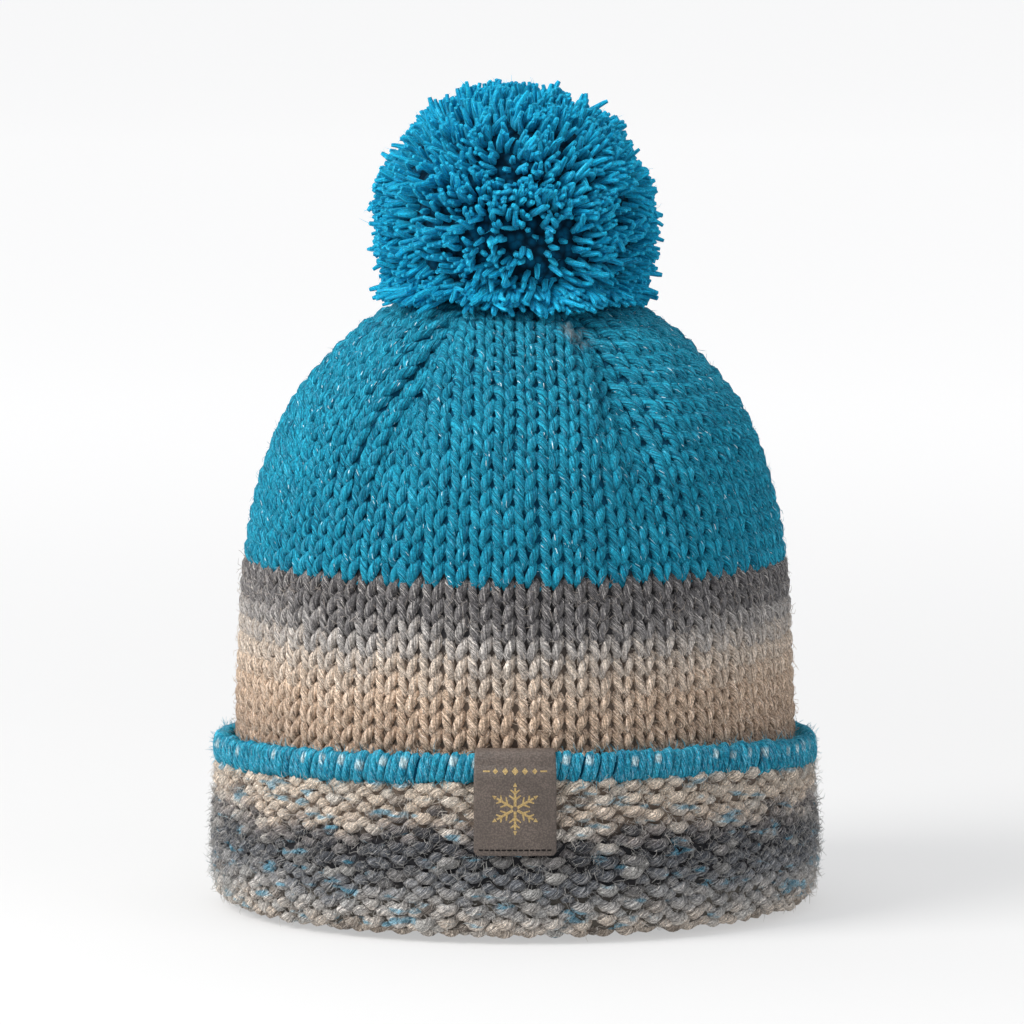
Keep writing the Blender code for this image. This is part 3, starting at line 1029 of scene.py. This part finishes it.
def label_mesh(material):
    height, radius = label_profile()
    outer_z, outer_r = moved_out(height, radius, LABEL_THICKNESS)
    half_angle = LABEL_WIDTH / 2 / (EDGING_RADIUS + EDGING_DEPTH / 2)
    points, faces = [], []
    rows = len(height)
    length = length_along(height, radius)
    for column in range(LABEL_COLUMNS + 1):
        side = 2 * column / LABEL_COLUMNS - 1
        for z, r, far in ((height, radius, 0), (outer_z, outer_r, 1)):
            for i in range(rows):
                corner = max(0.0, LABEL_CORNER - length[i])
                pulled = LABEL_CORNER - math.sqrt(max(0.0, LABEL_CORNER**2 - corner**2))
                azimuth = side * (half_angle - pulled / r[i])
                points.append(round_at(azimuth, r[i], z[i]))
    stride = 2 * rows
    for column in range(LABEL_COLUMNS):
        a, b = column * stride, (column + 1) * stride
        for i in range(rows - 1):
            faces.append((a + i, a + i + 1, b + i + 1, b + i))
            faces.append((a + rows + i, b + rows + i, b + rows + i + 1, a + rows + i + 1))
        for i, turned in ((0, False), (rows - 1, True)):
            quad = (a + i, b + i, b + rows + i, a + rows + i)
            faces.append(quad[::-1] if turned else quad)
    for column, turned in ((0, False), (LABEL_COLUMNS, True)):
        a = column * stride
        for i in range(rows - 1):
            quad = (a + i, a + rows + i, a + rows + i + 1, a + i + 1)
            faces.append(quad[::-1] if turned else quad)
    made = mesh_object("label_strip", points, faces, material)
    rounding = made.modifiers.new("worn_edges", "BEVEL")
    rounding.width, rounding.segments, rounding.limit_method = LABEL_WORN_EDGE, 2, "ANGLE"
    rounding.angle_limit = math.radians(50)
    return made


def leather():
    made, shader, start = shader_of("label_leather", 0.5, 0.0, (1, 1, 1))
    shader.inputs["Specular IOR Level"].default_value = 0.45
    pebble = start.node("ShaderNodeTexVoronoi", {"feature": "F1"}, {"Vector": start, "Scale": 1700.0})
    pores = grain(start, 2600.0, 3.0)
    patches = grain(start, 120.0, 3.0)
    tone = patches.between(0.3, 0.7)
    hide = mixed(tone, rgb(93, 83, 76), rgb(108, 96, 88))
    feed(shader, "Base Color", mixed(pebble.between(0.25, 0.70) * 0.65, hide, rgb(64, 56, 52)))
    feed(shader, "Roughness", 0.46 + patches * 0.16)
    relief = pebble * -0.00020 + pores * 0.00006
    embossed(shader, relief, 0.9)
    return made


label = label_mesh(leather())
worn(label, "label")


def on_label(across, height, raised):
    """A point above the label's front, from its distance to the middle line and its height."""
    z, r = label_profile()
    z, r = moved_out(z, r, LABEL_THICKNESS)
    front = int(np.argmax(z))
    radius = float(np.interp(height, z[:front], r[:front])) + raised
    return round_at(across / radius, radius, height)


FOIL_HEIGHT = 0.00006
SNOWFLAKE_HEIGHT = 0.0452
SNOWFLAKE_ARM = 0.0082
FOIL_STROKE = 0.00052
TWIGS = ((0.36, 0.0024), (0.62, 0.0019))
TWIG_LEAN = math.radians(52)
DIAMOND_ROW_UP = 0.0122
DIAMOND_PITCH = 0.0032


def stroke(start, end, half_start, half_end):
    """A tapered bar between two points of the label's plane."""
    (x, y), (u, v) = start, end
    long = math.hypot(u - x, v - y)
    nx, ny = -(v - y) / long, (u - x) / long
    return [
        (x - nx * half_start, y - ny * half_start), (u - nx * half_end, v - ny * half_end),
        (u + nx * half_end, v + ny * half_end), (x + nx * half_start, y + ny * half_start),
    ]


def diamond(x, y, half_width, half_height):
    return [(x - half_width, y), (x, y - half_height), (x + half_width, y), (x, y + half_height)]


def foil_shapes():
    """A snowflake of six like arms, and a row of diamonds between two small bars above it."""
    shapes = []
    middle = (0.0, SNOWFLAKE_HEIGHT)
    for arm in range(6):
        turn = math.pi / 2 + arm * math.pi / 3
        aim = (math.cos(turn), math.sin(turn))

        def along(share, lean=0.0, reach=0.0):
            x, y = middle[0] + aim[0] * SNOWFLAKE_ARM * share, middle[1] + aim[1] * SNOWFLAKE_ARM * share
            return x + math.cos(turn + lean) * reach, y + math.sin(turn + lean) * reach

        shapes.append(stroke(along(0.10), along(0.84), FOIL_STROKE * 0.9, FOIL_STROKE * 0.6))
        shapes.append(stroke(along(0.88), along(1.04), FOIL_STROKE * 1.3, FOIL_STROKE * 0.2))
        for share, reach in TWIGS:
            for lean in (-TWIG_LEAN, TWIG_LEAN):
                twig = along(share, lean, reach)
                shapes.append(stroke(along(share), twig, FOIL_STROKE * 0.7, FOIL_STROKE * 0.4))
    row_height = SNOWFLAKE_HEIGHT + DIAMOND_ROW_UP
    for i in range(-2, 3):
        half_width, half_height = 0.0011 - abs(i) * 0.00012, 0.0013 - abs(i) * 0.00016
        shapes.append(diamond(i * DIAMOND_PITCH, row_height, half_width, half_height))
    for side in (-1, 1):
        start, end = (side * 0.0082, row_height), (side * 0.0104, row_height)
        shapes.append(stroke(start, end, FOIL_STROKE * 0.5, FOIL_STROKE * 0.5))
    return shapes


def foil_mesh(material):
    points, faces = [], []
    for shape in foil_shapes():
        base = len(points)
        for raised in (-0.00004, FOIL_HEIGHT):
            points += [on_label(x, y, raised) for x, y in shape]
        count = len(shape)
        faces.append(tuple(base + count + i for i in range(count)))
        faces.append(tuple(base + i for i in reversed(range(count))))
        for i in range(count):
            j = (i + 1) % count
            faces.append((base + i, base + j, base + count + j, base + count + i))
    return mesh_object("label_foil", points, faces, material, smooth=False)


def gold_foil():
    made, shader, start = shader_of("gold_foil", 0.42, 0.0, (1, 1, 1))
    speckle = grain(start, 2200.0, 2.0)
    feed(shader, "Base Color", mixed(speckle.between(0.35, 0.65), rgb(158, 134, 90), rgb(200, 174, 122)))
    feed(shader, "Metallic", speckle.between(0.2, 0.8) * 0.5 + 0.25)
    embossed(shader, speckle, 0.5, 0.0001)
    return made


foil = foil_mesh(gold_foil())
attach(foil, "root")


STITCHES = 13
STITCH_LENGTH = 0.0012
STITCH_GIRTH = 0.00025
STITCH_RISE = 0.00034
STITCH_SUNK = 0.00010
STITCHES_UP = 0.0019
STITCHES_IN = 0.0011


def stitch_plan():
    strands = []
    low = label_profile()[0][0] + STITCHES_UP
    for i in range(STITCHES):
        across = (i - (STITCHES - 1) / 2) * (LABEL_WIDTH - 2 * STITCHES_IN) / STITCHES
        half = STITCH_LENGTH / 2
        bend = ((across - half, -STITCH_SUNK), (across, STITCH_RISE), (across + half, -STITCH_SUNK))
        strands.append((*(on_label(x, low, raised) for x, raised in bend), STITCH_GIRTH, 0.0))
    return strand_plan(strands)


def thread_colour(start, fibre, tone):
    return mixed(fibre.between(0.3, 0.7), rgb(24, 22, 22), rgb(46, 42, 40))


thread = yarn_look(
    "label_thread", thread_colour, twist_pitch=0.0006, plies=2, contrast=0.3,
    sheen=0.0, sheen_tint=WOOL_BLOOM,
)
stitch_sizes = {"Steps": 6, "Sides": 6, "Tip Share": 1.0, "Crowding": 1.0, "Yarn Length": STITCH_LENGTH}
stitches = made_by(strand_recipe(), "label_stitches", stitch_plan(), stitch_sizes, thread)
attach(stitches, "root")

# Pompom: some 4,200 ends of plied yarn bound at the middle and cut to a ball. It sits on the
# gathered top, so the ends underneath are pressed out and hang over the crown.
POMPOM_CENTRE = np.array((0.0, 0.0, 0.2280))
POMPOM_RADIUS = 0.0490
STRANDS = 4200
STRAND_GIRTH = 0.00132
ROOT_RADIUS = 0.016
CORE_RADIUS = 0.0410
CLUMPS = 260
# How far out from the middle line the lowest ends hang over the crown.
HANG_LEAST, HANG_MOST = 0.033, 0.049
# Where in the noise the swirl of the ends is read, for X, Y and Z.
SWIRL_SHIFTS = ((0.0, 0.0, 0.0), (17.3, 5.1, 0.0), (3.7, 0.0, 29.9))
# Where the ends part and lean away: a direction from the middle, how wide and how strongly.
PARTINGS = (
    ((-0.06, -0.96, -0.24), 0.36, 0.42),
    ((0.28, -0.95, 0.10), 0.30, 0.32),
    ((-0.48, -0.62, 0.62), 0.24, 0.25),
    ((0.85, 0.30, 0.10), 0.30, 0.40),
    ((-0.30, 0.92, 0.20), 0.30, 0.40),
    ((-0.92, 0.10, -0.10), 0.26, 0.30),
    ((0.10, 0.30, 0.95), 0.26, 0.30),
)


def unit(vectors):
    return vectors / np.linalg.norm(vectors, axis=-1, keepdims=True)


def crown_skin(distance):
    """Height of the knit's outer side at this distance from the middle line."""
    length, radius, height, crease = crown_path()
    z, r = moved_out(height, radius, KNIT_INSET)
    return np.interp(distance, r[::-1], z[::-1])


def pompom_plan(seed):
    rng = np.random.default_rng(seed)
    index = np.arange(STRANDS) + 0.5
    rise = 1 - 2 * index / STRANDS
    turn = index * math.pi * (3 - math.sqrt(5))
    flat = np.sqrt(1 - rise**2)
    aim = np.stack([flat * np.cos(turn), flat * np.sin(turn), rise], axis=1)
    aim = unit(aim + rng.normal(0, 0.030, aim.shape))
    clumps = unit(rng.normal(0, 1, (CLUMPS, 3)))
    nearest = clumps[np.argmax(aim @ clumps.T, axis=1)]
    swirl = np.array([[noise.noise(Vector(a) * 2.7 + Vector(shift)) for shift in SWIRL_SHIFTS] for a in aim])
    tip_aim = unit(aim + 0.14 * (nearest - aim) + 0.30 * swirl + rng.normal(0, 0.055, aim.shape))
    for towards, width, strength in PARTINGS:
        towards = unit(np.array(towards))
        away = tip_aim - towards
        far = np.linalg.norm(away, axis=1, keepdims=True)
        tip_aim = unit(tip_aim + away * strength * np.exp(-((far / width) ** 2)))
    swell = np.array([noise.noise(Vector(a) * 2.6) for a in aim])
    reach = POMPOM_RADIUS * (0.996 + 0.050 * swell - np.abs(rng.normal(0, 0.040, STRANDS)))
    reach *= 1 - 0.035 * ((rise - 0.72) / 0.28).clip(0, 1)
    stray = rng.random(STRANDS) < 0.02
    reach = np.where(stray, reach * 1.05, reach)
    root = POMPOM_CENTRE + aim * ROOT_RADIUS
    tip = POMPOM_CENTRE + tip_aim * reach[:, None]
    middle = POMPOM_CENTRE + unit(aim * 2.2 + tip_aim) * (ROOT_RADIUS + reach[:, None]) * 0.60
    middle += rng.normal(0, 0.0026, middle.shape)
    hang = rng.uniform(HANG_LEAST, HANG_MOST, STRANDS) - 0.005 * aim[:, 1]
    loose = rng.uniform(0.0, 1.0, STRANDS)
    clearances = (0.0030, 0.0022 + 0.0040 * loose, 0.0014 + 0.0065 * loose)
    for points, clearance in zip((root, middle, tip), clearances):
        distance = np.hypot(points[:, 0], points[:, 1]).clip(0.002)
        sunk = crown_skin(distance) + clearance - points[:, 2]
        spread = np.maximum(distance, np.minimum(distance + 1.1 * sunk, hang))
        under = sunk > 0
        points[under, :2] *= (spread / distance)[under, None]
        points[under, 2] = (crown_skin(spread) + clearance + 0.10 * sunk)[under]
    return {
        "root": root,
        "middle": middle,
        "tip": tip,
        "girth": STRAND_GIRTH * (1 + rng.normal(0, 0.10, STRANDS)),
        "tone": rng.normal(0, 1, STRANDS),
    }


def pompom_blue(start, fibre, tone):
    # Painted shade: the strands darken towards the pompom's middle, deep between the ends.
    depth = distance_to(start, POMPOM_CENTRE)
    shade = (fibre.between(0.3, 0.72) * 0.8 + tone * 0.10 + 0.05).clamped()
    yarn = mixed(shade, rgb(0, 142, 192), rgb(38, 208, 246))
    return mixed(depth.between(0.031, 0.048), rgb(0, 66, 98), yarn)


pompom_yarn = yarn_look(
    "pompom_wool", pompom_blue, twist_pitch=0.0075, plies=2, contrast=0.55,
    sheen=0.40, sheen_tint=TEAL_BLOOM, pale=0.10,
)
pompom_ends = pompom_plan(seed=12)
pompom_sizes = {"Steps": 5, "Sides": 5, "Tip Share": 0.50, "Crowding": 2.2, "Yarn Length": 0.036}
pompom = made_by(strand_recipe(), "pompom_strands", pompom_ends, pompom_sizes, pompom_yarn)
worn(pompom, "pompom")


def crowded_ends():
    """Cut ends packed side by side, seen deep between the long ones, in dark blue as painted shade, darkest
    in the cracks between them.
    """
    made, shader, start = shader_of("pompom_shaded_ends", 0.95, 0.2, TEAL_BLOOM)
    ends = start.node("ShaderNodeTexVoronoi", {"feature": "F1"}, {"Vector": start, "Scale": 330.0})
    wool = grain(start, 900.0, 3.0)
    lit = ends.between(0.75, 0.15) * (wool * 0.8 + 0.5)
    feed(shader, "Base Color", mixed(lit.clamped(), rgb(0, 26, 42), rgb(2, 78, 110)))
    relief = ends * -0.0016 + wool * 0.0005
    embossed(shader, relief)
    return made


def pompom_core():
    """The crowded inner ends, as one rough ball that sits on the gathered top, dark with painted shade."""
    ball = bmesh.new()
    bmesh.ops.create_icosphere(ball, subdivisions=4, radius=1.0)
    for vert in ball.verts:
        aim = vert.co.normalized()
        rough = noise.noise(aim * 9) * 0.05 + noise.noise(aim * 31) * 0.03
        place = Vector(POMPOM_CENTRE) + aim * CORE_RADIUS * (1 + rough)
        floor = float(crown_skin(math.hypot(place.x, place.y))) + 0.0006
        place.z = max(place.z, floor)
        vert.co = place
    data = bpy.data.meshes.new("pompom_core")
    ball.to_mesh(data)
    ball.free()
    data.materials.append(crowded_ends())
    data.shade_smooth()
    return object_of("pompom_core", data)


worn(pompom_core(), "pompom")

# Tie: the doubled plied yarn that the pompom is bound with. It goes down through the gathered
# top and is knotted inside the crown.
TIE_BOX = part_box("pompom_tie")
TIE_GIRTH = 0.0011


def tie_plan():
    """For each of the two yarns: the run down, a turn of the knot and the loose end."""
    low, high = TIE_BOX[0][2] + 0.0022, POMPOM_CENTRE[2] - ROOT_RADIUS + 0.004
    knot = low + 0.0014
    strands = []
    for side in (-1, 1):
        strands += [
            ((side * 0.0012, 0.0, high), (side * 0.0030, 0.0008 * side, (low + high) / 2),
             (side * 0.0010, 0.0, knot)),
            ((side * 0.0006, 0.0012 * side, knot - 0.0006), (side * 0.0062, -0.0034 * side, knot + 0.0010),
             (-side * 0.0004, -0.0022 * side, knot + 0.0004)),
            ((side * 0.0008, 0.0, knot), (side * 0.0030, 0.0020, knot + 0.0004),
             (side * 0.0046, -0.0012 * side, low - 0.0006)),
        ]
    return strand_plan([(*bend, TIE_GIRTH, 0.3 * i) for i, bend in enumerate(strands)])


tie_sizes = {"Steps": 14, "Sides": 8, "Tip Share": 0.8, "Crowding": 1.0, "Yarn Length": 0.012}
tie = made_by(strand_recipe(), "tie_yarn", tie_plan(), tie_sizes, pompom_yarn)
worn(tie, "pompom_tie")

# Bloom of the yarn: single fibres that stand off the wool and soften every edge, longest on
# the brushed cuff.
HAIR_GIRTH = 0.000060
LIGHT_THROUGH = 0.34


def hairs_on(path, low, high, count, depth, rise, run, seed, thick=1.0, lift=None):
    """The columns of the strand recipe for hairs on a path's skin, between two lengths of it."""
    rng = np.random.default_rng(seed)
    length, radius, height, crease = path
    drawn = rng.uniform(low, high, 4 * count)
    kept = rng.random(4 * count) < np.interp(drawn, length, radius) / radius.max()
    at = drawn[kept][:count]
    count = len(at)
    azimuth = rng.uniform(-math.pi, math.pi, count)
    up_r, up_z = np.gradient(radius, length), np.gradient(height, length)
    r, z, ur, uz, dent = (np.interp(at, length, v) for v in (radius, height, up_r, up_z, crease))
    r = r * (1 - dent * np.array([crease_at(a) for a in azimuth]))
    if lift:
        z = z + [lift(a, h) for a, h in zip(azimuth, z)]
    ahead = np.stack([np.sin(azimuth), -np.cos(azimuth), 0 * azimuth], axis=1)
    beside = np.stack([np.cos(azimuth), np.sin(azimuth), 0 * azimuth], axis=1)
    vertical = np.array((0.0, 0.0, 1.0))
    out = ahead * uz[:, None] - vertical * ur[:, None]
    up = ahead * ur[:, None] + vertical * uz[:, None]
    root = ahead * r[:, None] + vertical * z[:, None] + out * depth * rng.uniform(0.6, 1.0, (count, 1))
    turn = rng.uniform(0, math.tau, (count, 1))
    stretch = run * rng.uniform(0.4, 1.4, (count, 1))
    raised = rise * rng.exponential(1.0, (count, 1)).clip(0, 3.2)
    covered = under_label(azimuth, z)
    raised[covered] = -depth
    tip = root + out * raised + (beside * np.cos(turn) + up * np.sin(turn)) * stretch
    bend = rng.normal(0, 0.25 * run, (count, 3))
    middle = (root + tip) / 2 + out * raised * 0.35 + bend
    for points in (root, middle, tip):
        points[:, 2] = points[:, 2].clip(0.0002)
    return {
        "root": root,
        "middle": middle,
        "tip": tip,
        "girth": thick * HAIR_GIRTH * rng.uniform(0.8, 1.3, count),
        "tone": rng.normal(0, 1.6, count),
        "band": at / ROW_PITCH,
    }


def hair_look(name, colour_of, pale):
    """Fine fibres, a third of the way from the yarn's colour to the pale one of light through them."""
    made, shader, start = shader_of(name, 0.9, 0.2, pale[:3])
    fibre = grain(start, 400.0, 1.0)
    colour = colour_of(start, fibre, attribute(start, "tone"))
    feed(shader, "Base Color", mixed(LIGHT_THROUGH, colour, pale))
    return made


def hair_piece(name, plan, look, node):
    sizes = {"Steps": 3, "Sides": 3, "Tip Share": 0.4, "Crowding": 1.0, "Yarn Length": 0.004}
    worn(made_by(strand_recipe(), name, plan, sizes, look), node)


crown_skin_path = crown_path()
yarn_change = FIRST_BLUE_ROW * ROW_PITCH - 0.5 * ROW_PITCH
crown_end = crown_skin_path[0][-1] - 0.012
cuff_skin_path = (*cuff_path(), np.zeros_like(cuff_path()[0]))
hair_piece(
    "crown_blue_hairs",
    hairs_on(
        crown_skin_path, yarn_change, crown_end, count=2600,
        depth=0.0027, rise=0.0006, run=0.0024, seed=21,
    ),
    hair_look("teal_hair", teal, rgb(77, 184, 209)), "crown",
)
hair_piece(
    "crown_heather_hairs",
    hairs_on(
        crown_skin_path, 0.004, yarn_change, count=3800,
        depth=0.0027, rise=0.0007, run=0.0028, seed=22, thick=1.3,
    ),
    hair_look("heather_hair", heather, rgb(219, 204, 189)), "crown_band",
)
hair_piece(
    "cuff_hairs",
    hairs_on(
        cuff_skin_path, 0.0115, cuff_skin_path[0][-1], count=11000,
        depth=0.0028, rise=0.0009, run=0.0026, seed=23, thick=1.3, lift=lift_at,
    ),
    hair_look("cuff_hair", cuff_colours, rgb(214, 211, 205)), "cuff",
)


def tuft(rng, root, tip, sunk=0.0, thick=1.0):
    """The columns of the strand recipe for short hairs, each a little bent."""
    count = len(root)
    return {
        "root": root - sunk,
        "middle": (root + tip) / 2 + rng.normal(0, 0.0005, (count, 3)),
        "tip": tip,
        "girth": thick * HAIR_GIRTH * rng.uniform(0.8, 1.2, count),
        "tone": rng.normal(0, 1, count),
    }


def edging_hairs(count, seed):
    rng = np.random.default_rng(seed)
    azimuth = rng.uniform(0.15, math.tau - 0.15, count)
    turn = rng.uniform(-0.6 * math.pi, 0.6 * math.pi, count)
    outward = np.cos(turn) * EDGING_DEPTH / 2
    upward = np.sin(turn) * EDGING_HEIGHT / 2
    r = EDGING_RADIUS + outward
    z = EDGING_MIDDLE + np.array([lift_at(a) for a in azimuth]) + upward
    root = np.stack([r * np.sin(azimuth), -r * np.cos(azimuth), z], axis=1)
    aim = np.stack([np.cos(turn) * np.sin(azimuth), -np.cos(turn) * np.cos(azimuth), np.sin(turn)], axis=1)
    tip = root + aim * rng.exponential(0.0008, (count, 1)).clip(0, 0.0025) + rng.normal(0, 0.0011, (count, 3))
    return tuft(rng, root, tip, sunk=aim * 0.0004, thick=1.3)


hair_piece(
    "edging_hairs", edging_hairs(3600, seed=24),
    hair_look("edging_hair", edging_blue, rgb(130, 200, 218)), "cuff_edging",
)


def pompom_hairs(count, seed):
    """Hairs near the cut ends of the strands."""
    rng = np.random.default_rng(seed)
    pick = rng.integers(0, STRANDS, count)
    back = rng.uniform(0.0, 0.35, (count, 1))
    root = pompom_ends["tip"][pick] * (1 - back) + pompom_ends["middle"][pick] * back
    aim = unit(root - POMPOM_CENTRE)
    tip = root + aim * rng.uniform(0.0, 0.0014, (count, 1)) + rng.normal(0, 0.0012, (count, 3))
    return tuft(rng, root, tip)


hair_piece(
    "pompom_hairs", pompom_hairs(3600, seed=25),
    hair_look("pompom_hair", pompom_blue, rgb(64, 190, 230)), "pompom",
)
